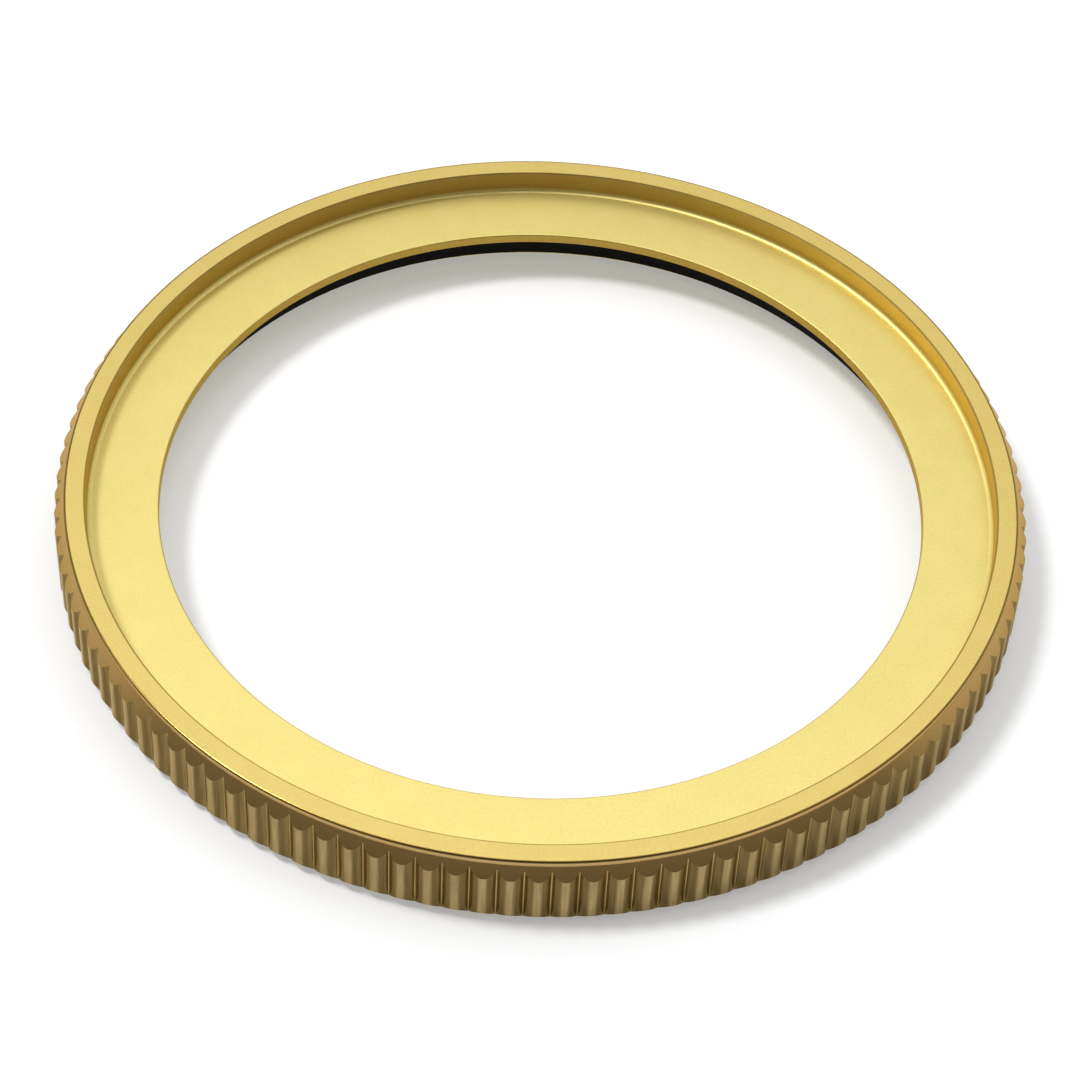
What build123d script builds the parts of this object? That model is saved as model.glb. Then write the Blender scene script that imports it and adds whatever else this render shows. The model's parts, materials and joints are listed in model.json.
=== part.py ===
"""Rotating watch bezel: a coin-edge ring with an empty insert seat, the rubber gasket that holds it
on the neck of a watch case, and the three-fingered click spring that gives it its clicks.

Millimetres, +Z up. The origin is on the ring's axis, in the plane that the ring stands on.
"""
from build123d import *
from math import cos, pi, radians, sin, tan
import os

# Ring, seen from above
insert_diameter = 38.0          # the dial insert that the seat takes
insert_clearance = 0.05         # on the radius, for the insert and its adhesive
rim_width = 0.92                # flat rim around the insert, with its rounded edge
seat_width = 3.0                # from the wall of the recess in to the opening that shows the dial
crest_overhang = 0.4            # how far the grip stands out past the rim

# Ring, seen from the side
ring_height = 3.4
seat_depth = 1.05               # from the rim down to the seat of the insert
lip_thickness = 0.42
rim_edge_round = 0.13           # outer edge of the rim
rim_inner_break = 0.05          # inner edge of the rim
rim_edge_depth = 0.235          # from the rim's top down to the start of the cone
cone_height = 0.52              # cone that trims the tops of the ribs
seat_corner_round = 0.2         # foot of the recess wall
lip_edge_round = 0.06

# Grip: convex ribs with narrow rounded valleys between them
rib_count = 120
valley_depth = 0.26
valley_round = 0.05
grip_foot_height = 0.45         # how far up the crests the chamfer at their feet reaches
grip_foot_flare = 40.0          # degrees that this chamfer leans off the upright
grip_foot_round = 0.1           # lower edge of the chamfer

# Gasket, an L-section ring in the inner groove of the bezel
lip_overhang = 0.85             # the lip stands in past the gasket, and so past the neck of the case
gasket_width = 0.75
gasket_foot_clearance = 0.44    # above the plane that the ring stands on
gasket_end_clearance = 0.06     # under the roof of its groove, and over the snap edge
groove_roof_thickness = 0.65    # metal between the groove and the seat of the insert
gasket_nose_height = 0.3        # narrower foot that passes the snap edge
gasket_nose_step = 0.3
gasket_corner_round = 0.12
gasket_running_clearance = 0.03
snap_clearance = 0.06           # between the gasket's foot and the snap edge that keeps it in

# Click track under the ring, with saw teeth in its roof
click_count = 120
track_wall = 0.4                # web between the gasket's groove and the track
track_width = 1.3
track_depth = 0.66              # up to the tips of the teeth
tooth_depth = 0.16
tooth_end_land = 0.05           # plain strip at each end of a tooth
tooth_ramp_share = 0.9          # part of a tooth's pitch that its ramp takes

# Click spring, stamped from strip, with fingers that are bent up into the teeth
spring_thickness = 0.2
spring_side_clearance = 0.1
spring_rail_width = 0.5         # unbroken outer band
finger_count = 3
finger_slot = 0.1               # gap between a finger and the rail
finger_angle = 26.0             # degrees from root to tip
finger_end_gap_angle = 1.2      # degrees of open slot past the tip
finger_steps = 8
finger_roof_clearance = 0.05    # between the bent finger and the tips of the teeth
tip_reach = 0.1                 # how far the beak stands up between two teeth
tip_clearance = 0.03
tip_top_width = 0.08
tip_foot_width = 0.4
notch_radius = 0.28             # notches that key the spring to pegs on the case

overrun = 0.5                   # cutters run past what they cut by this much
blank_allowance = 0.1           # stock on the blank past the crests, for the ribs to be cut from

# Places that follow from the sizes above
seat_radius = insert_diameter / 2 + insert_clearance
rim_radius = seat_radius + rim_width
crest_radius = rim_radius + crest_overhang
lip_bore_radius = seat_radius - seat_width
seat_height = ring_height - seat_depth
lip_underside = seat_height - lip_thickness
gasket_bore_radius = lip_bore_radius + lip_overhang
gasket_radius = gasket_bore_radius + gasket_width
groove_radius = gasket_radius + gasket_running_clearance
groove_top = seat_height - groove_roof_thickness
gasket_top = groove_top - gasket_end_clearance
nose_radius = gasket_radius - gasket_nose_step
nose_top = gasket_foot_clearance + gasket_nose_height
snap_radius = nose_radius + snap_clearance
snap_top = nose_top - gasket_end_clearance
track_inner_radius = groove_radius + track_wall
track_outer_radius = track_inner_radius + track_width
spring_inner_radius = track_inner_radius + spring_side_clearance
spring_outer_radius = track_outer_radius - spring_side_clearance
rail_inner_radius = spring_outer_radius - spring_rail_width
finger_outer_radius = rail_inner_radius - finger_slot
finger_top = track_depth - finger_roof_clearance


def turned(points, rounds=()):
    """A ring turned from a section of (radius, height) points, with some corners rounded."""
    face = make_face(Polyline(*points, close=True))
    for corner, radius in rounds:
        vertex = face.vertices().sort_by_distance(corner)[0]
        face = fillet(vertex, radius)
    return revolve(Plane.XZ * face, Axis.Z)


def ring_blank():
    """The ring with a plain outer wall that stands out past the crests, for the ribs to be cut from."""
    wall_radius = crest_radius + blank_allowance
    flare = tan(radians(grip_foot_flare))
    foot_corner = crest_radius - grip_foot_height * flare
    cone_top = ring_height - rim_edge_depth
    cone_foot = cone_top - cone_height * (wall_radius - rim_radius) / crest_overhang
    points = [
        (foot_corner, 0),
        (wall_radius, grip_foot_height + blank_allowance / flare),
        (wall_radius, cone_foot),
        (rim_radius, cone_top),
        (rim_radius, ring_height),
        (seat_radius + rim_inner_break, ring_height),
        (seat_radius, ring_height - rim_inner_break),
        (seat_radius, seat_height),
        (lip_bore_radius, seat_height),
        (lip_bore_radius, lip_underside),
        (gasket_bore_radius, lip_underside),
        (gasket_bore_radius, groove_top),
        (groove_radius, groove_top),
        (groove_radius, snap_top),
        (snap_radius, snap_top),
        (snap_radius, 0),
        (track_inner_radius, 0),
        (track_inner_radius, track_depth),
        (track_outer_radius, track_depth),
        (track_outer_radius, 0),
    ]
    rounds = [
        ((foot_corner, 0), grip_foot_round),
        ((rim_radius, ring_height), rim_edge_round),
        ((seat_radius, seat_height), seat_corner_round),
        ((lip_bore_radius, seat_height), lip_edge_round),
    ]
    return turned(points, rounds)


def polar(radius, degrees):
    """A point of the plan at a radius and an angle."""
    return Vector(radius * cos(radians(degrees)), radius * sin(radians(degrees)))


def grip_outline():
    """Plan of the coin edge: convex ribs joined by small rounded valleys, all tangent."""
    half_pitch = 180 / rib_count
    valley_centre = crest_radius - valley_depth + valley_round
    # the rib's radius follows from the crest, the valley's floor and the tangent between the arcs
    along = valley_centre * cos(radians(half_pitch))
    reach = crest_radius ** 2 + valley_centre ** 2 - 2 * crest_radius * along - valley_round ** 2
    rib_round = reach / (2 * (crest_radius - along + valley_round))
    rib_centre = crest_radius - rib_round
    edges = []
    for rib in range(rib_count):
        crest_angle = 2 * half_pitch * rib
        centre = polar(rib_centre, crest_angle)
        before = polar(valley_centre, crest_angle - half_pitch)
        after = polar(valley_centre, crest_angle + half_pitch)
        start = centre + (before - centre).normalized() * rib_round
        end = centre + (after - centre).normalized() * rib_round
        floor = polar(valley_centre - valley_round, crest_angle + half_pitch)
        next_centre = polar(rib_centre, crest_angle + 2 * half_pitch)
        next_start = next_centre + (after - next_centre).normalized() * rib_round
        edges.append(ThreePointArc(start, polar(crest_radius, crest_angle), end))
        edges.append(ThreePointArc(end, floor, next_start))
    return make_face(edges)


def tooth_gap():
    """Cutter for the gap between two saw teeth; its upright face lies in a plane through the axis."""
    inner = track_inner_radius + tooth_end_land
    outer = track_outer_radius - tooth_end_land
    ramp = tooth_ramp_share * 2 * pi * inner / click_count
    points = [
        (0, track_depth - overrun),
        (0, track_depth + tooth_depth),
        (-ramp, track_depth),
        (-ramp, track_depth - overrun),
    ]
    face = Plane.YZ.offset(inner) * make_face(Polyline(*points, close=True))
    return extrude(face, outer - inner)


def bezel_ring():
    """The gold ring: rim, insert seat and lip above, gasket groove and click track below."""
    ribbed = extrude(grip_outline(), ring_height)
    ring = ring_blank() & ribbed
    gap = tooth_gap()
    gaps = [Rot(0, 0, 360 / click_count * tooth) * gap for tooth in range(click_count)]
    return ring - gaps


def retaining_gasket():
    """The black rubber ring: it grips the case's neck and the bezel turns round it."""
    points = [
        (gasket_bore_radius, gasket_foot_clearance),
        (nose_radius, gasket_foot_clearance),
        (nose_radius, nose_top),
        (gasket_radius, nose_top),
        (gasket_radius, gasket_top),
        (gasket_bore_radius, gasket_top),
    ]
    rounds = [
        ((gasket_bore_radius, gasket_foot_clearance), gasket_corner_round),
        ((nose_radius, gasket_foot_clearance), gasket_corner_round),
        ((gasket_radius, gasket_top), gasket_corner_round),
        ((gasket_bore_radius, gasket_top), gasket_corner_round),
    ]
    return turned(points, rounds)


def annulus_sector(inner, outer, height, start, sweep):
    """A flat piece of ring between two radii and two angles."""
    points = [(inner, 0), (outer, 0), (outer, height), (inner, height)]
    face = Plane.XZ * make_face(Polyline(*points, close=True))
    return Rot(0, 0, start) * revolve(face, Axis.Z, sweep)


def finger():
    """One bent finger of the click spring, its beak at angle zero and its root clockwise of it."""
    sections = []
    for step in range(finger_steps + 1):
        share = step / finger_steps
        low = share * (finger_top - spring_thickness)
        points = [
            (spring_inner_radius, low),
            (finger_outer_radius, low),
            (finger_outer_radius, low + spring_thickness),
            (spring_inner_radius, low + spring_thickness),
        ]
        face = Plane.XZ * make_face(Polyline(*points, close=True))
        sections.append(Rot(0, 0, -finger_angle * (1 - share)) * face)
    return loft(sections, ruled=True)


def beak():
    """The upturned tip of a finger, which stands between two teeth behind an upright face."""
    foot = finger_top - spring_thickness
    top = track_depth + tip_reach
    points = [
        (-tip_clearance, foot),
        (-tip_clearance, top),
        (-tip_clearance - tip_top_width, top),
        (-tip_clearance - tip_foot_width, finger_top),
        (-tip_clearance - tip_foot_width, foot),
    ]
    face = Plane.YZ.offset(spring_inner_radius) * make_face(Polyline(*points, close=True))
    return extrude(face, finger_outer_radius - spring_inner_radius)


def click_spring():
    """The stamped steel ring: an unbroken rail, three bent fingers and three locating notches."""
    spring = annulus_sector(spring_inner_radius, spring_outer_radius, spring_thickness, 0, 360)
    slot_sweep = finger_angle + finger_end_gap_angle
    notch = Pos(spring_inner_radius, 0) * extrude(Circle(notch_radius), spring_thickness)
    for number in range(finger_count):
        turn = Rot(0, 0, 360 / finger_count * number)
        slot = annulus_sector(
            spring_inner_radius - overrun, rail_inner_radius, spring_thickness, -finger_angle, slot_sweep
        )
        spring -= turn * slot
        spring -= turn * Rot(0, 0, 180 / finger_count) * notch
    for number in range(finger_count):
        turn = Rot(0, 0, 360 / finger_count * number)
        spring += turn * finger()
        spring += turn * beak()
    return spring


os.makedirs("parts", exist_ok=True)
pieces = {
    "bezel_ring": bezel_ring(),
    "retaining_gasket": retaining_gasket(),
    "click_spring": click_spring(),
}
for name, piece in pieces.items():
    export_step(piece, f"parts/{name}.step")
    print(name, "solids", len(piece.solids()), "volume", round(piece.volume, 2), "mm3")
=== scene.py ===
# %% [markdown]
# # A rotating watch bezel
#
# This lesson dresses three imported parts: a gold-toned bezel ring with a coin edge, the black rubber
# gasket inside it, and the steel click spring underneath. The ring is only 41 mm across, and every
# length below is in metres, in the same frame as the solids.
#
# The first cell loads that frame, with a helper that reads a solid's box from it. The ring gets a
# finer mesh of its own. The gasket and the spring keep the meshes of their solids and only get
# materials.

import json
from math import atan2, cos, hypot, pi, radians, sin, tan

import bmesh
import bpy
from mathutils import Matrix, Vector


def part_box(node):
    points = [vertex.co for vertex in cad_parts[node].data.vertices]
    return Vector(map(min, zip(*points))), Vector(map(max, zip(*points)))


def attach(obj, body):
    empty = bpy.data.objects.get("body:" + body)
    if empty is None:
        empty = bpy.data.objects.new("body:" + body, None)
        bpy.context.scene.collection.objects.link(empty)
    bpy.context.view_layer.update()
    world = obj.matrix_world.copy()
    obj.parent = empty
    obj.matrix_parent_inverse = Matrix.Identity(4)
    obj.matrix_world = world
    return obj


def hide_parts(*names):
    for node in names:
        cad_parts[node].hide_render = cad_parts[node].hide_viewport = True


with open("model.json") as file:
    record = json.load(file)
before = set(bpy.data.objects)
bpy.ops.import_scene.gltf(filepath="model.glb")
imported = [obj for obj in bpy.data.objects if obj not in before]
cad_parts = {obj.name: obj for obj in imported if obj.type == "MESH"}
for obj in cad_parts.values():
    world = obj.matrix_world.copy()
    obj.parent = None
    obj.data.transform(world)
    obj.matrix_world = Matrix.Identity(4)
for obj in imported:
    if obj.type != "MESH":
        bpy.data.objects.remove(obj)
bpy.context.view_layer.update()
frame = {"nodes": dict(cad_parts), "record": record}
mm = 0.001
mounts = {mount["name"]: mount for mount in frame["record"]["mounts"]}
print("nodes:", sorted(frame["nodes"]))

# %% [markdown]
# ## The camera
#
# The photograph was taken from the front, 48 degrees above the table, with a long lens and a slight
# tilt. A camera could be placed by hand, but then its aim, its distance and its tilt are mixed up
# in six numbers. Here each has a value of its own, and the camera's place is worked out from the
# point that it looks at, beside the centre of the ring's top, so the ring stays in view when one
# value is changed.

# %% Camera
ring_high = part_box("bezel_ring")[1]
ring_height = ring_high.z
camera_distance = 140.7 * mm
camera_elevation = radians(47.95)
camera_roll = radians(3.0)
camera_turn = radians(1.2)
aim_right = -0.11 * mm
aim_up = -2.59 * mm
sensor_width_in_mm = 36
lens_length_in_mm = 111.93
nearest_view = 1 * mm


def camera_axes():
    """The camera's right, up and forward directions, after its roll and its turn about the ring."""
    forward = Vector((0, cos(camera_elevation), -sin(camera_elevation)))
    right = Vector((1, 0, 0))
    roll = Matrix.Rotation(-camera_roll, 3, forward)
    turn = Matrix.Rotation(camera_turn, 3, "Z")
    up = right.cross(forward)
    return [turn @ (roll @ axis) for axis in (right, up, forward)]


def add_camera():
    """The camera looks along its forward axis at a point beside the centre of the ring's top."""
    right, up, forward = camera_axes()
    data = bpy.data.cameras.new("camera")
    data.sensor_width = sensor_width_in_mm
    data.lens = lens_length_in_mm
    data.clip_start = nearest_view
    camera = bpy.data.objects.new("camera", data)
    bpy.context.scene.collection.objects.link(camera)
    aim = Vector((0, 0, ring_height)) + aim_right * right + aim_up * up
    turned = Matrix((right, up, -forward)).transposed().to_4x4()
    camera.matrix_world = Matrix.Translation(aim - camera_distance * forward) @ turned
    bpy.context.scene.camera = camera
    return camera


camera = add_camera()
print("camera at", [round(value / mm, 1) for value in camera.location], "mm")

# %% [markdown]
# ## The ring
#
# The ring is one turned piece of metal with 120 ribs cut round it. It could be turned with a Screw
# modifier and cut with booleans, but those leave ragged faces at every rib. The ring looks the same
# every three degrees, so it is enough to model one rib's share of it, a sector of three degrees
# with clean faces, and to repeat that.
#
# The main sizes come from the solid's box and from the mounts in its record, so the dressed ring
# follows the solid.

# %% Sizes of the ring
rib_count = 120
half_pitch = pi / rib_count
rim_width = 0.92 * mm
crest_radius = ring_high.x
seat_radius = mounts["insert_seat"]["dims"]["r_mm"] * mm
seat_height = mounts["insert_seat_floor"]["pos_m"][2]
lip_bore_radius = mounts["dial_opening"]["dims"]["r_mm"] * mm
neck_radius = mounts["case_neck"]["dims"]["r_mm"] * mm
rim_radius = seat_radius + rim_width
print("rim", round(2 * rim_radius / mm, 2), "mm, grip", round(2 * crest_radius / mm, 2), "mm")

# %% [markdown]
# In plan, a rib is a convex arc between two small hollow arcs, and all of them are tangent to each
# other. The radius of the rib's arc follows from the crest, the valley and that tangency. The
# function below gives the outline as polar points, from one valley's centre to the next.

# %% Outline of one rib
valley_depth = 0.26 * mm
valley_round = 0.05 * mm
rib_arc_steps = 14
valley_arc_steps = 6


def arc(centre, radius, start, end, steps):
    """Points on an arc in a plane, from one angle to another."""
    angles = [start + (end - start) * step / steps for step in range(steps + 1)]
    return [(centre[0] + radius * cos(angle), centre[1] + radius * sin(angle)) for angle in angles]


def rib_outline():
    """(radius, angle) of the grip's outline over one rib, whose crest is at angle zero."""
    valley_centre = crest_radius - valley_depth + valley_round
    along = valley_centre * cos(half_pitch)
    reach = crest_radius ** 2 + valley_centre ** 2 - 2 * crest_radius * along - valley_round ** 2
    rib_round = reach / (2 * (crest_radius - along + valley_round))
    rib_centre = crest_radius - rib_round
    before = (valley_centre * cos(half_pitch), -valley_centre * sin(half_pitch))
    after = (before[0], -before[1])
    tangent = atan2(after[1], after[0] - rib_centre)
    points = arc(before, valley_round, pi - half_pitch, pi - tangent, valley_arc_steps)
    points += arc((rib_centre, 0), rib_round, -tangent, tangent, rib_arc_steps)[1:-1]
    points += arc(after, valley_round, tangent - pi, half_pitch - pi, valley_arc_steps)
    return [(hypot(x, y), atan2(y, x)) for x, y in points]


outline = rib_outline()
print("points across a rib:", len(outline))

# %% [markdown]
# ## The outside of the sector
#
# Each column of the grip zone is a line up the outside of the ring at one angle. A rib has many
# columns, because it is round. All of them have the same number of points, so joining them point to
# point gives clean strips of quads. The edges where the cone and the foot's chamfer cut a rib fall
# exactly on a row of points, which keeps the U-shaped facets crisp. A flat that meets a round edge
# has one more row just inside the flat: without it, smooth shading would tilt the light over the
# whole flat.

# %% Columns of the grip
rim_edge_round = 0.13 * mm
rim_edge_depth = 0.235 * mm
cone_height = 0.52 * mm
foot_height = 0.45 * mm
foot_flare = radians(40)
foot_round = 0.1 * mm
flat_support = 0.02 * mm
edge_steps = 6


def grip_column(radius):
    """(radius, height) up the outside of the ring, from its foot to the flat of the rim."""
    foot_corner = crest_radius - foot_height * tan(foot_flare)
    foot_centre = (foot_corner - foot_round * (1 - sin(foot_flare)) / cos(foot_flare), foot_round)
    rib_foot = (radius - foot_corner) / tan(foot_flare)
    cone_top = ring_height - rim_edge_depth
    cone_foot = cone_top - cone_height * (radius - rim_radius) / (crest_radius - rim_radius)
    column = arc(foot_centre, foot_round, -pi / 2, -foot_flare, edge_steps)
    column += [(radius, rib_foot), (radius, cone_foot), (rim_radius, cone_top)]
    centre = (rim_radius - rim_edge_round, ring_height - rim_edge_round)
    column += arc(centre, rim_edge_round, 0, pi / 2, edge_steps)
    return column + [(centre[0] - flat_support, ring_height)]


print("points up the grip:", len(grip_column(crest_radius)))

# %% [markdown]
# ## The inside of the sector
#
# The inner zone is plain turned metal, so a few columns are enough: the recess for the insert, the
# thin lip, the gasket's groove with its snap edge, and the track of the click spring. Saw teeth are
# cut in the track's roof, one to each rib. An upright tooth face is two columns at the same angle
# with different roof heights.

# %% Columns of the inside
rim_inner_break = 0.05 * mm
seat_corner_round = 0.2 * mm
lip_thickness = 0.42 * mm
lip_edge_round = 0.06 * mm
groove_top = 1.7 * mm
groove_radius = 17.68 * mm
snap_radius = 17.41 * mm
snap_top = 0.68 * mm
track_inner_radius = 18.08 * mm
track_outer_radius = 19.38 * mm
track_depth = 0.66 * mm
tooth_depth = 0.16 * mm
tooth_end_land = 0.05 * mm
tooth_ramp = radians(2.7)
corner_steps = 6


def inner_column(tooth_share):
    """(radius, height) from the rim's flat, down the recess and under the lip, to the track."""
    roof = track_depth + tooth_depth * tooth_share
    corner = (seat_radius - seat_corner_round, seat_height + seat_corner_round)
    lip_corner = (lip_bore_radius + lip_edge_round, seat_height - lip_edge_round)
    column = [
        (seat_radius + rim_inner_break, ring_height),
        (seat_radius, ring_height - rim_inner_break),
        (seat_radius, corner[1] + flat_support),
    ]
    column += arc(corner, seat_corner_round, 0, -pi / 2, corner_steps)
    column += [(corner[0] - flat_support, seat_height), (lip_corner[0] + flat_support, seat_height)]
    column += arc(lip_corner, lip_edge_round, pi / 2, pi, edge_steps)
    column += [
        (lip_bore_radius, lip_corner[1] - flat_support),
        (lip_bore_radius, seat_height - lip_thickness),
        (neck_radius, seat_height - lip_thickness),
        (neck_radius, groove_top),
        (groove_radius, groove_top),
        (groove_radius, snap_top),
        (snap_radius, snap_top),
        (snap_radius, 0),
        (track_inner_radius, 0),
        (track_inner_radius, track_depth),
        (track_inner_radius + tooth_end_land, track_depth),
        (track_inner_radius + tooth_end_land, roof),
        (track_outer_radius - tooth_end_land, roof),
        (track_outer_radius - tooth_end_land, track_depth),
        (track_outer_radius, track_depth),
        (track_outer_radius, 0),
    ]
    return column


def tooth_columns():
    """(angle, share of the tooth's depth) of the inner columns, over one pitch."""
    pitch = 2 * half_pitch
    ramp_start = pitch - tooth_ramp
    edge_share = 1 - half_pitch / tooth_ramp
    middle = (ramp_start + half_pitch) / 2
    return [
        (-half_pitch, edge_share),
        (-half_pitch / 2, (edge_share + 1) / 2),
        (0, 1),
        (0, 0),
        (ramp_start, 0),
        (middle, edge_share / 2),
        (half_pitch, edge_share),
    ]


print("points round the inside:", len(inner_column(1)), "columns:", len(tooth_columns()))

# %% [markdown]
# ## One sector as a mesh
#
# Both zones become strips of quads. They meet in two flat faces, the rim's flat and the ring's
# foot, where the number of columns may differ because one large polygon takes up all their ends.

# %% Mesh of the sector
merge_distance = 0.0005 * mm


def add_strips(sector, columns):
    """Quads between neighbouring columns; returns the columns' vertices."""
    rows = [
        [sector.verts.new((r * cos(angle), r * sin(angle), z)) for r, z in column]
        for angle, column in columns
    ]
    for left, right in zip(rows, rows[1:]):
        for low in range(len(left) - 1):
            sector.faces.new((left[low], right[low], right[low + 1], left[low + 1]))
    return rows


def ring_sector():
    """A mesh of one rib's share of the ring, closed but for its two cut sides."""
    sector = bmesh.new()
    grip = add_strips(sector, [(angle, grip_column(radius)) for radius, angle in outline])
    inner = add_strips(sector, [(angle, inner_column(share)) for angle, share in tooth_columns()])
    rim = [column[-1] for column in grip] + [column[0] for column in reversed(inner)]
    foot = [column[0] for column in reversed(grip)] + [column[-1] for column in inner]
    sector.faces.new(rim)
    sector.faces.new(foot)
    bmesh.ops.remove_doubles(sector, verts=sector.verts, dist=merge_distance)
    bmesh.ops.dissolve_degenerate(sector, dist=merge_distance, edges=sector.edges)
    mesh = bpy.data.meshes.new("ring_sector")
    sector.to_mesh(mesh)
    sector.free()
    return mesh


sector_mesh = ring_sector()
print("sector:", len(sector_mesh.vertices), "points,", len(sector_mesh.polygons), "faces")

# %% [markdown]
# ## Repeating the sector
#
# A loop in the script could turn and join the copies, but Geometry Nodes keep the repeating in one
# tree that is easy to change. The tree puts one copy of the sector on each of 120 points, turns it
# by its share of a full turn, makes the copies real and merges the seams. The count is a named
# input, so the same tree makes a coarser or a finer coin edge.

# %% Tree that repeats a sector round a ring


def feed(tree, value, socket):
    """Links another node's output to an input, or writes a plain value into it."""
    if isinstance(value, bpy.types.NodeSocket):
        tree.links.new(value, socket)
    else:
        socket.default_value = value


def maths(tree, operation, *values):
    """A Math node; each value is a number or another node's output."""
    node = tree.nodes.new("ShaderNodeMath")
    node.operation = operation
    for socket, value in zip(node.inputs, values):
        feed(tree, value, socket)
    return node.outputs[0]


def new_tree(name, inputs):
    """A geometry tree with a mesh input, the named inputs and a mesh output."""
    tree = bpy.data.node_groups.new(name, "GeometryNodeTree")
    for label, kind in [("Geometry", "NodeSocketGeometry")] + inputs:
        tree.interface.new_socket(label, in_out="INPUT", socket_type=kind)
    tree.interface.new_socket("Geometry", in_out="OUTPUT", socket_type="NodeSocketGeometry")
    return tree, tree.nodes.new("NodeGroupInput"), tree.nodes.new("NodeGroupOutput")


def repeat_tree():
    """Copies of the mesh, turned evenly round Z, merged into one closed mesh."""
    inputs = [
        ("Count", "NodeSocketInt"),
        ("Merge Distance", "NodeSocketFloat"),
        ("Material", "NodeSocketMaterial"),
    ]
    tree, entry, leave = new_tree("repeat_round_ring", inputs)
    points = tree.nodes.new("GeometryNodeMeshLine")
    points.inputs["Offset"].default_value = (0, 0, 0)
    tree.links.new(entry.outputs["Count"], points.inputs["Count"])
    index = tree.nodes.new("GeometryNodeInputIndex").outputs[0]
    step = maths(tree, "DIVIDE", 2 * pi, entry.outputs["Count"])
    turn = tree.nodes.new("ShaderNodeCombineXYZ")
    tree.links.new(maths(tree, "MULTIPLY", index, step), turn.inputs["Z"])
    copies = tree.nodes.new("GeometryNodeInstanceOnPoints")
    tree.links.new(points.outputs["Mesh"], copies.inputs["Points"])
    tree.links.new(entry.outputs["Geometry"], copies.inputs["Instance"])
    tree.links.new(turn.outputs["Vector"], copies.inputs["Rotation"])
    real = tree.nodes.new("GeometryNodeRealizeInstances")
    tree.links.new(copies.outputs["Instances"], real.inputs["Geometry"])
    merge = tree.nodes.new("GeometryNodeMergeByDistance")
    tree.links.new(real.outputs["Geometry"], merge.inputs["Geometry"])
    tree.links.new(entry.outputs["Merge Distance"], merge.inputs["Distance"])
    dress = tree.nodes.new("GeometryNodeSetMaterial")
    tree.links.new(merge.outputs["Geometry"], dress.inputs["Geometry"])
    tree.links.new(entry.outputs["Material"], dress.inputs["Material"])
    tree.links.new(dress.outputs["Geometry"], leave.inputs["Geometry"])
    return tree


def input_names(tree):
    """The names of a tree's inputs."""
    return [item.name for item in tree.interface.items_tree if item.in_out == "INPUT"]


ring_tree = repeat_tree()
print("tree inputs:", input_names(ring_tree))

# %% [markdown]
# ## A blasted skin
#
# Bead blasting leaves a skin of tiny dimples, each a few hundredths of a millimetre across. Seen
# from a step away they scatter the light into a soft satin, with a faint speckle. Modelled dimples
# would need millions of faces, so these are noise in the material. One node group makes the skin,
# and its two sizes are inputs, so that any metal part can use it. It gives out a mottled mask, a
# fine speckle mask and a height for the bump, and the colours stay in the material.

# %% Node group for the blasted skin
speckle_per_grain = 0.6


def object_place(tree):
    """The point in the piece's own coordinates, which a pattern follows when the piece moves."""
    return tree.nodes.new("ShaderNodeTexCoord").outputs["Object"]


def noise(tree, vector, scale, detail):
    """A noise texture's value on a vector; the scale is a number or another node's output."""
    node = tree.nodes.new("ShaderNodeTexNoise")
    node.inputs["Detail"].default_value = detail
    tree.links.new(vector, node.inputs["Vector"])
    feed(tree, scale, node.inputs["Scale"])
    return node.outputs[0]


def new_group(name, inputs, outputs):
    """A shader group with named float inputs and float outputs."""
    group = bpy.data.node_groups.new(name, "ShaderNodeTree")
    for label, value in inputs:
        socket = group.interface.new_socket(label, in_out="INPUT", socket_type="NodeSocketFloat")
        socket.default_value = value
    for label in outputs:
        group.interface.new_socket(label, in_out="OUTPUT", socket_type="NodeSocketFloat")
    return group, group.nodes.new("NodeGroupInput"), group.nodes.new("NodeGroupOutput")


def blasted_group():
    """Mottle, speckle and dimple height of a blasted skin; the sizes are the width of a patch."""
    inputs = [("Mottle Size", 1.2 * mm), ("Grain Size", 0.06 * mm)]
    group, entry, leave = new_group("blasted_skin", inputs, ["Mottle", "Speckle", "Height"])
    place = object_place(group)
    coarse = maths(group, "DIVIDE", 1, entry.outputs["Mottle Size"])
    fine = maths(group, "DIVIDE", 1, entry.outputs["Grain Size"])
    speckle = maths(group, "MULTIPLY", fine, speckle_per_grain)
    group.links.new(noise(group, place, coarse, detail=3), leave.inputs["Mottle"])
    group.links.new(noise(group, place, speckle, detail=2), leave.inputs["Speckle"])
    group.links.new(noise(group, place, fine, detail=1), leave.inputs["Height"])
    return group


skin = blasted_group()
print("group inputs:", input_names(skin))

# %% [markdown]
# ## Gold
#
# The ring is steel with a thin yellow gold coating. Its flats are bead-blasted and pale, while the
# cut faces, the cone and the ribs, are shinier. Their browner tones are painted shade, and the
# light crest and valley lines of the ribs are painted reflections; the recess wall and the rim's
# edges are painted darker as shade too. A painted texture could hold these tones, but each of them
# belongs to a face, and a face is easy to find: over the turned faces the tone follows the radius,
# and over the ribs it follows the distance from the crest. Fine upright streaks from the cutter run
# down the ribs, and mottle and speckle lie over everything.

# %% Tones of the gold


def linear(red, green, blue):
    """A colour as picked on a screen, from 0 to 255, as the linear colour that shaders use."""
    def channel(value):
        share = value / 255
        return share / 12.92 if share <= 0.04045 else ((share + 0.055) / 1.055) ** 2.4
    return (channel(red), channel(green), channel(blue), 1)


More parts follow.
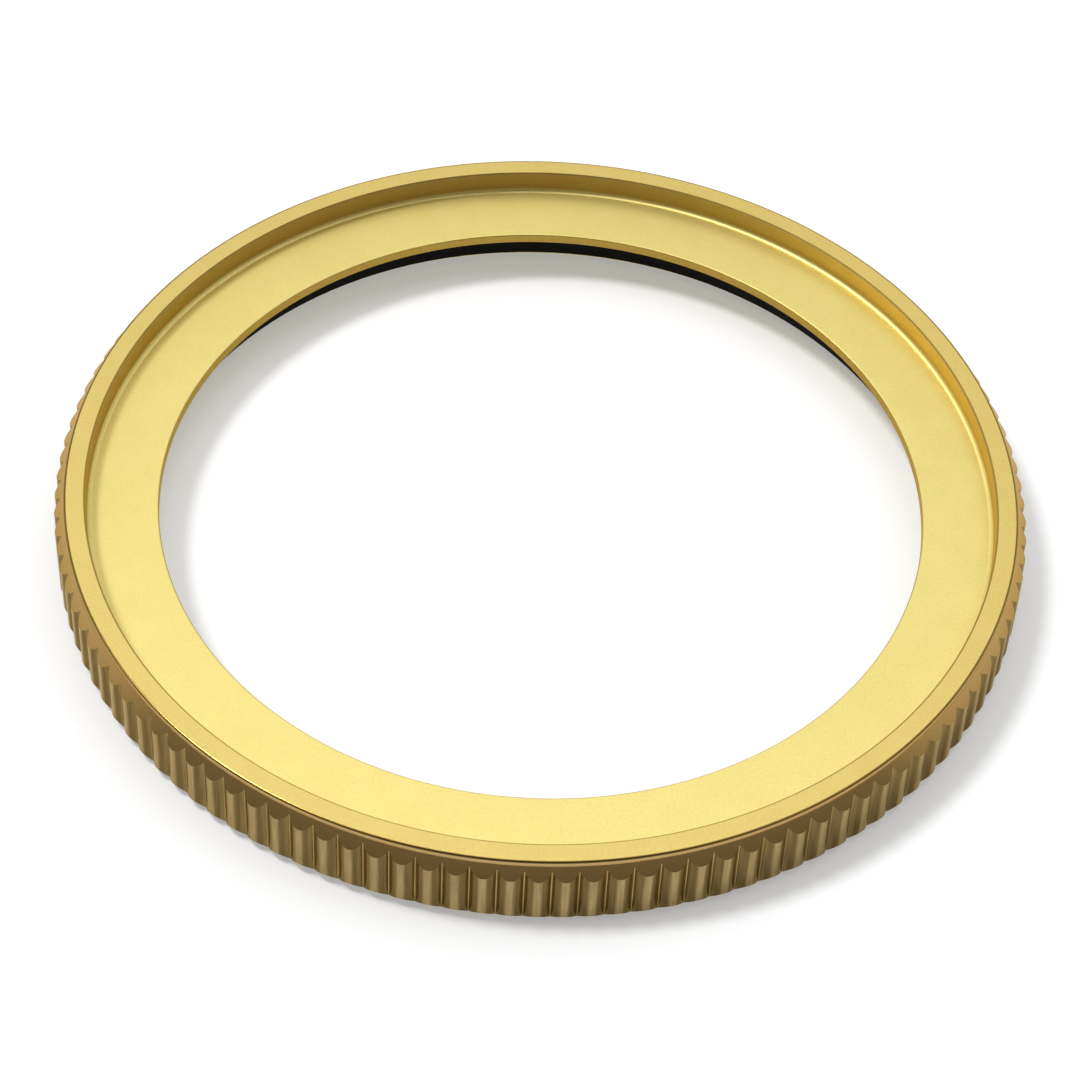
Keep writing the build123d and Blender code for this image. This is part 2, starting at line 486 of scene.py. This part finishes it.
white = (1, 1, 1, 1)
seat_tone = linear(251, 235, 151)
# Painted shade: the recess wall is painted darker than the seat's gold.
wall_painted_shade_tone = linear(204, 176, 106)
rim_tone = linear(237, 215, 132)
# Painted shade: a dark line along the rim's inner break.
edge_painted_shade_tone = linear(168, 136, 62)
# Painted shade: the dark turn of the rim's outer edge, which the dark patch in front also draws.
turn_painted_shade_tone = linear(162, 134, 72)
# Painted shade: the rounded edge of the dial opening is darker than the seat.
bore_painted_shade_tone = linear(182, 152, 72)
# Painted shade: the short upright face under the rim's edge.
side_painted_shade_tone = linear(190, 162, 112)
# Painted shade: the cone's brown, darker again at its foot.
cone_painted_shade_tone = linear(182, 149, 92)
cone_foot_painted_shade_tone = linear(170, 139, 82)
# Painted light across a rib: a highlight on the crest, shade on the flanks and groins, a reflection
# down the valley.
crest_painted_highlight_tone = linear(170, 149, 106)
flank_painted_shade_tone = linear(118, 99, 62)
groin_painted_shade_tone = linear(144, 124, 80)
valley_painted_reflection_tone = linear(170, 150, 100)
streak_tones = ((0.72, 0.70, 0.66, 1), (1.08, 1.08, 1.08, 1))
mottle_tone = (0.96, 0.95, 0.92, 1)
speckle_tone = (0.93, 0.92, 0.90, 1)
grazing_tone = (1, 0.86, 0.62, 1)
print("seat in linear light:", [round(value, 2) for value in seat_tone])

# %% [markdown]
# The place of a point is worked out from its Object coordinates. Its radius becomes a share of the
# way from the dial opening to the crests, because a colour ramp runs from zero to one. Its angle,
# counted in ribs and folded at each crest, gives the distance from the crest.

# %% Where a point lies


def share_of(radius):
    """A radius as a share of the way from the wall of the dial opening to the ribs' crests."""
    return (radius - lip_bore_radius) / (crest_radius - lip_bore_radius)


def plan_place(tree):
    """Where a point lies in plan: its share of the radius, and its distance from the crest."""
    parts = tree.nodes.new("ShaderNodeSeparateXYZ")
    tree.links.new(object_place(tree), parts.inputs[0])
    across = maths(tree, "MULTIPLY", parts.outputs["X"], parts.outputs["X"])
    along = maths(tree, "MULTIPLY", parts.outputs["Y"], parts.outputs["Y"])
    radius = maths(tree, "SQRT", maths(tree, "ADD", across, along))
    beyond_bore = maths(tree, "SUBTRACT", radius, lip_bore_radius)
    share = maths(tree, "DIVIDE", beyond_bore, crest_radius - lip_bore_radius)
    angle = maths(tree, "ARCTAN2", parts.outputs["Y"], parts.outputs["X"])
    ribs = maths(tree, "MULTIPLY", angle, rib_count / (2 * pi))
    return share, maths(tree, "MULTIPLY", maths(tree, "PINGPONG", ribs, 0.5), 2)


print("seat's wall at", round(share_of(seat_radius), 3))
print("rim's edge at", round(share_of(rim_radius), 3))

# %% [markdown]
# Each turned surface gets its tone from a colour ramp over the radius. The painted dark line along
# the rim's inner edge and the painted shade on the turn of its outer edge are stops that lie close
# together. Their places are shares of the inner edge's break and of the outer edge's rounding, so
# they stay on these edges when the sizes change.

# %% Tones of the turned surfaces
edge_line_shares = (1, 1.2, 1.6)
turn_shares = (1, 0.8, 0.1, 0.05)
cone_start = 0.01 * mm


def zones(tree, place, stops):
    """A colour that changes with the place; each stop is a share and a colour."""
    ramp = tree.nodes.new("ShaderNodeValToRGB")
    tree.links.new(place, ramp.inputs["Fac"])
    elements = ramp.color_ramp.elements
    while len(elements) < len(stops):
        elements.new(0.5)
    for element, (position, colour) in zip(elements, stops):
        element.position = position
        element.color = colour
    return ramp.outputs["Color"]


def turned_tone_and_painted_shade(tree, share):
    """The tones of the turned surfaces, with painted shade on the wall, the edges and the cone, from
    the dial opening out to the cone's foot.
    """
    line_start, line_end, line_fade = [seat_radius + rim_inner_break * s for s in edge_line_shares]
    flat_end, turn_start, turn_end, side = [rim_radius - rim_edge_round * s for s in turn_shares]
    # Only the seat's and the rim's tones are the gold's own; the other stops are painted shade.
    stops = [
        (lip_bore_radius, bore_painted_shade_tone),
        (lip_bore_radius + lip_edge_round, seat_tone),
        (seat_radius - rim_inner_break, seat_tone),
        (seat_radius, wall_painted_shade_tone),
        (line_start, edge_painted_shade_tone),
        (line_end, edge_painted_shade_tone),
        (line_fade, rim_tone),
        (flat_end, rim_tone),
        (turn_start, turn_painted_shade_tone),
        (turn_end, turn_painted_shade_tone),
        (side, side_painted_shade_tone),
        (rim_radius + cone_start, cone_painted_shade_tone),
        (crest_radius, cone_foot_painted_shade_tone),
    ]
    return zones(tree, share, [(share_of(radius), tone) for radius, tone in stops])


print("tones end at", round((rim_radius + cone_start) / mm, 2), "mm, where the cone's begin")

# %% [markdown]
# Across a rib the crest takes a painted highlight, the flanks painted shade, and a painted
# reflection runs down each valley as a light line. Only the upright faces outside the rim take these
# tones, so the cone above them keeps its own. The streaks are noise that is stretched along the
# ring's axis.

# %% Tones of the ribs
noise_range = (0.25, 0.75)
rib_start = 0.04 * mm
upright_limit = 0.2
streak_width = 0.09 * mm
streak_stretch = 0.06


def painted_rib_light(tree, rib):
    """The painted highlight, shade and reflection across half a rib, by shares of the way from its
    crest to the valley.
    """
    return zones(tree, rib, [
        (0, crest_painted_highlight_tone),
        (0.18, crest_painted_highlight_tone),
        (0.4, flank_painted_shade_tone),
        (0.62, flank_painted_shade_tone),
        (0.86, groin_painted_shade_tone),
        (0.93, groin_painted_shade_tone),
        (0.97, valley_painted_reflection_tone),
    ])


def map_range(tree, value, start, end, low, high, kind="LINEAR"):
    """A value that goes from low to high while another goes from start to end."""
    node = tree.nodes.new("ShaderNodeMapRange")
    node.interpolation_type = kind
    for label, number in zip(("From Min", "From Max", "To Min", "To Max"), (start, end, low, high)):
        node.inputs[label].default_value = number
    tree.links.new(value, node.inputs["Value"])
    return node.outputs["Result"]


def remap(tree, value, low, high):
    """A noise value spread between two new ends."""
    return map_range(tree, value, *noise_range, low, high)


def blend(tree, kind, factor, first, second):
    """Two colours mixed or multiplied; all three are plain values or other nodes' outputs."""
    node = tree.nodes.new("ShaderNodeMix")
    node.data_type = "RGBA"
    node.blend_type = kind
    feed(tree, factor, node.inputs["Factor"])
    feed(tree, first, node.inputs["A"])
    feed(tree, second, node.inputs["B"])
    return node.outputs["Result"]


def streaks(tree):
    """A brightness that changes in fine upright lines, as a cutter leaves on a flank."""
    stretch = tree.nodes.new("ShaderNodeMapping")
    stretch.inputs["Scale"].default_value = (1, 1, streak_stretch)
    tree.links.new(object_place(tree), stretch.inputs["Vector"])
    lines = noise(tree, stretch.outputs["Vector"], 1 / streak_width, detail=2)
    return blend(tree, "MIX", remap(tree, lines, 0, 1), *streak_tones)


def on_rib(tree, share):
    """One on the upright faces of the ribs, and zero elsewhere."""
    parts = tree.nodes.new("ShaderNodeSeparateXYZ")
    tree.links.new(tree.nodes.new("ShaderNodeTexCoord").outputs["Normal"], parts.inputs[0])
    outside = maths(tree, "GREATER_THAN", share, share_of(rim_radius + rib_start))
    upright = maths(tree, "LESS_THAN", parts.outputs["Z"], upright_limit)
    return maths(tree, "MULTIPLY", outside, upright)


print("streaks about", streak_width / mm, "mm wide")

# %% [markdown]
# The material puts it together. The tone is multiplied by the mottle and the speckle, the blasted
# faces are rough and the cut ones smoother, and the dimples are a bump. A metallic shader turns
# white where it is seen at a flat angle, which looks grey against gold, so its Specular Tint is a
# warm tone.

# %% Gold material
gold_mottle_size = 1.5 * mm
gold_grain_size = 0.07 * mm
gold_dimple_depth = 0.0015 * mm
blasted_roughness = (0.54, 0.46)
cut_roughness = 0.24


def new_material(name, colour, metallic, roughness):
    """A material with one Principled shader; returns the material, its tree and its shader."""
    material = bpy.data.materials.new(name)
    material.use_nodes = True
    shader = material.node_tree.nodes["Principled BSDF"]
    shader.inputs["Base Color"].default_value = colour
    shader.inputs["Metallic"].default_value = metallic
    shader.inputs["Roughness"].default_value = roughness
    material.diffuse_color = colour
    return material, material.node_tree, shader


def dimples(tree, shader, height, depth):
    """Feeds a height into the shader's normal; depth is in metres."""
    bump = tree.nodes.new("ShaderNodeBump")
    bump.inputs["Distance"].default_value = depth
    tree.links.new(height, bump.inputs["Height"])
    tree.links.new(bump.outputs["Normal"], shader.inputs["Normal"])


def gold_material():
    """Satin gold: pale on the blasted flats, with painted shade along their edges and on the cut
    sides.
    """
    material, tree, shader = new_material("satin_gold", seat_tone, 1, cut_roughness)
    shader.inputs["Specular Tint"].default_value = grazing_tone
    blasted = tree.nodes.new("ShaderNodeGroup")
    blasted.node_tree = skin
    blasted.inputs["Mottle Size"].default_value = gold_mottle_size
    blasted.inputs["Grain Size"].default_value = gold_grain_size
    share, rib = plan_place(tree)
    # The rib tones are painted highlight, shade and reflection, times the real cutter streaks.
    ribs = blend(tree, "MULTIPLY", 1, painted_rib_light(tree, rib), streaks(tree))
    tone = blend(tree, "MIX", on_rib(tree, share), turned_tone_and_painted_shade(tree, share), ribs)
    for output, dark in (("Mottle", mottle_tone), ("Speckle", speckle_tone)):
        veil = blend(tree, "MIX", remap(tree, blasted.outputs[output], 0, 1), dark, white)
        tone = blend(tree, "MULTIPLY", 1, tone, veil)
    tree.links.new(tone, shader.inputs["Base Color"])
    cut = maths(tree, "GREATER_THAN", share, share_of(rim_radius - rim_edge_round))
    rough = tree.nodes.new("ShaderNodeMix")
    feed(tree, cut, rough.inputs["Factor"])
    feed(tree, remap(tree, blasted.outputs["Speckle"], *blasted_roughness), rough.inputs["A"])
    feed(tree, cut_roughness, rough.inputs["B"])
    tree.links.new(rough.outputs["Result"], shader.inputs["Roughness"])
    dimples(tree, shader, blasted.outputs["Height"], gold_dimple_depth)
    return material


gold = gold_material()
print("made", gold.name)

# %% [markdown]
# ## From the tree to a plain mesh
#
# The tree runs as a modifier on the sector. Its result is kept as an ordinary mesh and the modifier
# goes away, because the ring has to travel without it. The faces are then shaded smooth, apart from
# the edges that really are edges. The new ring stands in for the solid, with its slot and its body.

# %% Coin-edge ring
crease_angle = radians(22)


def bake_tree(name, mesh, tree, values):
    """A plain mesh object that holds what the tree makes of a mesh."""
    source = bpy.data.objects.new(name, mesh)
    bpy.context.scene.collection.objects.link(source)
    modifier = source.modifiers.new(tree.name, "NODES")
    modifier.node_group = tree
    for item in tree.interface.items_tree:
        if item.in_out == "INPUT" and item.name in values:
            modifier[item.identifier] = values[item.name]
    source.update_tag()
    evaluated = source.evaluated_get(bpy.context.evaluated_depsgraph_get())
    baked = bpy.data.meshes.new_from_object(evaluated)
    source.modifiers.clear()
    source.data = baked
    return source


ring = bake_tree("coin_edge_ring", sector_mesh, ring_tree, {
    "Count": rib_count,
    "Merge Distance": merge_distance,
    "Material": gold,
})
ring.data.shade_smooth()
ring.data.set_sharp_from_angle(angle=crease_angle)
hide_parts("bezel_ring")
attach(ring, "bezel")
print("ring:", len(ring.data.vertices), "points,", len(ring.data.polygons), "faces")

# %% [markdown]
# ## Black rubber
#
# The gasket is moulded nitrile rubber: nearly black and matt, with a dusty bloom. Its solid already
# has the right shape, so it only gets a material. One flat black would look like a hole in the
# picture, so a soft cloud of noise lifts the colour a little and makes the sheen uneven.

# %% Rubber material
bloom_size = 0.8 * mm
rubber_grain_size = 0.1 * mm
rubber_grain_depth = 0.002 * mm
rubber_roughness = (0.5, 0.7)
rubber_gloss = 0.1
rubber_tones = (linear(4, 4, 3), linear(9, 8, 6))


def rubber_material():
    """Matt black rubber with a faint grey bloom."""
    material, tree, shader = new_material("black_rubber", linear(6, 6, 5), 0, rubber_roughness[1])
    shader.inputs["Specular IOR Level"].default_value = rubber_gloss
    place = object_place(tree)
    cloud = noise(tree, place, 1 / bloom_size, detail=3)
    tone = blend(tree, "MIX", remap(tree, cloud, 0, 1), *rubber_tones)
    tree.links.new(tone, shader.inputs["Base Color"])
    tree.links.new(remap(tree, cloud, *rubber_roughness), shader.inputs["Roughness"])
    grain = noise(tree, place, 1 / rubber_grain_size, detail=2)
    dimples(tree, shader, grain, rubber_grain_depth)
    return material


def dress(node_name, material):
    """Gives a solid's own mesh a material and leaves its shape alone."""
    slots = frame["nodes"][node_name].data.materials
    slots.clear()
    slots.append(material)
    print("dressed", node_name, "in", material.name)


dress("retaining_gasket", rubber_material())

# %% [markdown]
# ## Spring steel
#
# The click spring is stamped from cold-rolled strip, so fine straight lines run across it in one
# direction, whichever way its fingers point. The lines are noise that is stretched along X, which
# a Mapping node does by making that coordinate smaller. They change the grey, the roughness and
# the bump together, as real rolling marks do.

# %% Steel material
rolling_line_width = 0.05 * mm
rolling_line_stretch = 0.05
rolling_line_depth = 0.0008 * mm
steel_roughness = (0.24, 0.38)
steel_tones = (linear(178, 179, 182), linear(208, 208, 209))


def steel_material():
    """Cold-rolled strip: grey steel with fine rolling lines."""
    material, tree, shader = new_material("spring_steel", steel_tones[1], 1, steel_roughness[0])
    stretch = tree.nodes.new("ShaderNodeMapping")
    stretch.inputs["Scale"].default_value = (rolling_line_stretch, 1, 1)
    tree.links.new(object_place(tree), stretch.inputs["Vector"])
    lines = noise(tree, stretch.outputs["Vector"], 1 / rolling_line_width, detail=3)
    tone = blend(tree, "MIX", remap(tree, lines, 0, 1), *steel_tones)
    tree.links.new(tone, shader.inputs["Base Color"])
    tree.links.new(remap(tree, lines, *steel_roughness), shader.inputs["Roughness"])
    dimples(tree, shader, lines, rolling_line_depth)
    return material


dress("click_spring", steel_material())

# %% [markdown]
# ## The floor
#
# The table is white and keeps the ring's soft shadow. A floor that is only lit comes out light
# grey, and one that only glows loses the shadow, so this one does both. Its glow is shown only to
# the rays that see a background, straight on or mirrored, so it doesn't light the ring as a lamp
# would.

# %% Floor
floor_size = 0.8
floor_drop = 0.01 * mm
floor_albedo = 0.82
floor_glow = 0.32
floor_roughness = 0.9


def shown_rays(tree):
    """One for rays that show a background: from the camera, mirrored or through glass."""
    path = tree.nodes.new("ShaderNodeLightPath")
    seen = maths(tree, "ADD", path.outputs["Is Camera Ray"], path.outputs["Is Glossy Ray"])
    seen = maths(tree, "ADD", seen, path.outputs["Is Transmission Ray"])
    return maths(tree, "MINIMUM", seen, 1)


def floor_material():
    """A white floor that keeps shadows; a little glow of its own lifts it to plain white."""
    albedo = (floor_albedo, floor_albedo, floor_albedo, 1)
    material, tree, shader = new_material("white_floor", albedo, 0, floor_roughness)
    shader.inputs["Specular IOR Level"].default_value = 0
    shader.inputs["Emission Color"].default_value = white
    glow = maths(tree, "MULTIPLY", shown_rays(tree), floor_glow)
    tree.links.new(glow, shader.inputs["Emission Strength"])
    return material


def add_floor():
    """A square floor just under the ring's foot."""
    half = floor_size / 2
    mesh = bpy.data.meshes.new("floor")
    corners = [(-half, -half), (half, -half), (half, half), (-half, half)]
    mesh.from_pydata([(x, y, -floor_drop) for x, y in corners], [], [(0, 1, 2, 3)])
    mesh.materials.append(floor_material())
    floor = bpy.data.objects.new("floor", mesh)
    bpy.context.scene.collection.objects.link(floor)
    return floor


print(add_floor().name, floor_size, "m wide")

# %% [markdown]
# ## The key light
#
# One broad soft lamp stands high on the left and gives the ring its shadow on the right. An area
# lamp would do too, but a sun lamp's strength doesn't change with distance, so its energy can be
# worked out from the share of full white that it should give to a white floor.

# %% Key light
sun_turn = radians(-78)
sun_elevation = radians(62)
sun_width = radians(14)
sun_share = 0.43


def add_sun():
    """The broad soft key light, from high on the left."""
    data = bpy.data.lights.new("key", "SUN")
    data.energy = sun_share * pi / sin(sun_elevation)
    data.angle = sun_width
    lamp = bpy.data.objects.new("key", data)
    away = Vector((0, cos(sun_elevation), sin(sun_elevation)))
    away.rotate(Matrix.Rotation(-sun_turn, 3, "Z"))
    lamp.rotation_euler = away.to_track_quat("Z", "Y").to_euler()
    bpy.context.scene.collection.objects.link(lamp)
    return lamp


sun = add_sun()
print("sun's energy", round(sun.data.energy, 2))

# %% [markdown]
# ## The light tent
#
# Metal shows what is around it, so an even world would leave the gold flat. This one is a dim tent
# with three things in it: a bright panel overhead, a bright band low down at the back and the
# sides, and a dark patch in front, where the photographer stands. That patch, together with the
# painted shade on the rim's turn, draws the dark line along the rim's front edge, while the flats
# stay bright. Real panels could do the same, but a world is easier to tune, because each part of it
# is only a direction and a width.
# The panel and the dark patch are round, with a soft edge between an inner and an outer angle.

# %% Patches of the world
panel_level = 1.45
panel_turn = radians(25)
panel_elevation = radians(72)
panel_inner = radians(8)
panel_outer = radians(38)
patch_level = 0.05
patch_elevation = radians(57)
patch_inner = radians(15)
patch_outer = radians(29)
patch_stretch = 0.6


def soft_step(tree, value, start, end, low, high):
    """A level that goes smoothly from low to high while the value goes from start to end."""
    return map_range(tree, value, start, end, low, high, kind="SMOOTHSTEP")


def patch(tree, direction, toward, inner, outer, low, high):
    """A round soft-edged patch of the world: one level outside it and another within."""
    facing = tree.nodes.new("ShaderNodeVectorMath")
    facing.operation = "DOT_PRODUCT"
    facing.inputs[1].default_value = toward
    tree.links.new(direction, facing.inputs[0])
    return soft_step(tree, facing.outputs["Value"], cos(outer), cos(inner), low, high)


def stretched(tree, direction, share):
    """The direction with its sideways part made smaller, which makes a round patch a wide one."""
    shrink = tree.nodes.new("ShaderNodeVectorMath")
    shrink.operation = "MULTIPLY"
    shrink.inputs[1].default_value = (share, 1, 1)
    tree.links.new(direction, shrink.inputs[0])
    unit = tree.nodes.new("ShaderNodeVectorMath")
    unit.operation = "NORMALIZE"
    tree.links.new(shrink.outputs["Vector"], unit.inputs[0])
    return unit.outputs["Vector"]


print("panel level", panel_level, "patch level", patch_level)

# %% [markdown]
# The low band is brightest at the horizon and fades upwards, and it fades out towards the front.
# The levels are then joined: the brighter of panel and band, darkened by the patch.

# %% Band and tent
tent_level = 0.3
band_level = 0.9
band_low = 0.1
band_high = 0.75
band_front = -0.45
band_back = 0.1


def low_band(tree, direction):
    """Bright walls low down at the back and the sides, which the edges of the ring mirror."""
    parts = tree.nodes.new("ShaderNodeSeparateXYZ")
    tree.links.new(direction, parts.inputs[0])
    low = soft_step(tree, parts.outputs["Z"], band_low, band_high, band_level, 0)
    behind = soft_step(tree, parts.outputs["Y"], band_front, band_back, 0, 1)
    return maths(tree, "MULTIPLY", low, behind)


def light_tent():
    """A dim world with a panel high up, a low band and the photographer's darkness in front."""
    world = bpy.data.worlds.new("light_tent")
    world.use_nodes = True
    tree = world.node_tree
    background = tree.nodes["Background"]
    background.inputs["Color"].default_value = white
    direction = tree.nodes.new("ShaderNodeTexCoord").outputs["Generated"]
    across = cos(panel_elevation)
    back = (across * sin(panel_turn), across * cos(panel_turn), sin(panel_elevation))
    front = (0, -cos(patch_elevation), sin(patch_elevation))
    panel = patch(tree, direction, back, panel_inner, panel_outer, tent_level, panel_level)
    bright = maths(tree, "MAXIMUM", panel, low_band(tree, direction))
    wide = stretched(tree, direction, patch_stretch)
    shade = patch(tree, wide, front, patch_inner, patch_outer, 1, patch_level)
    tree.links.new(maths(tree, "MULTIPLY", bright, shade), background.inputs["Strength"])
    bpy.context.scene.world = world
    return world


light_tent()
bpy.context.scene.view_settings.view_transform = "Standard"
print("tent level", tent_level, "band level", band_level)
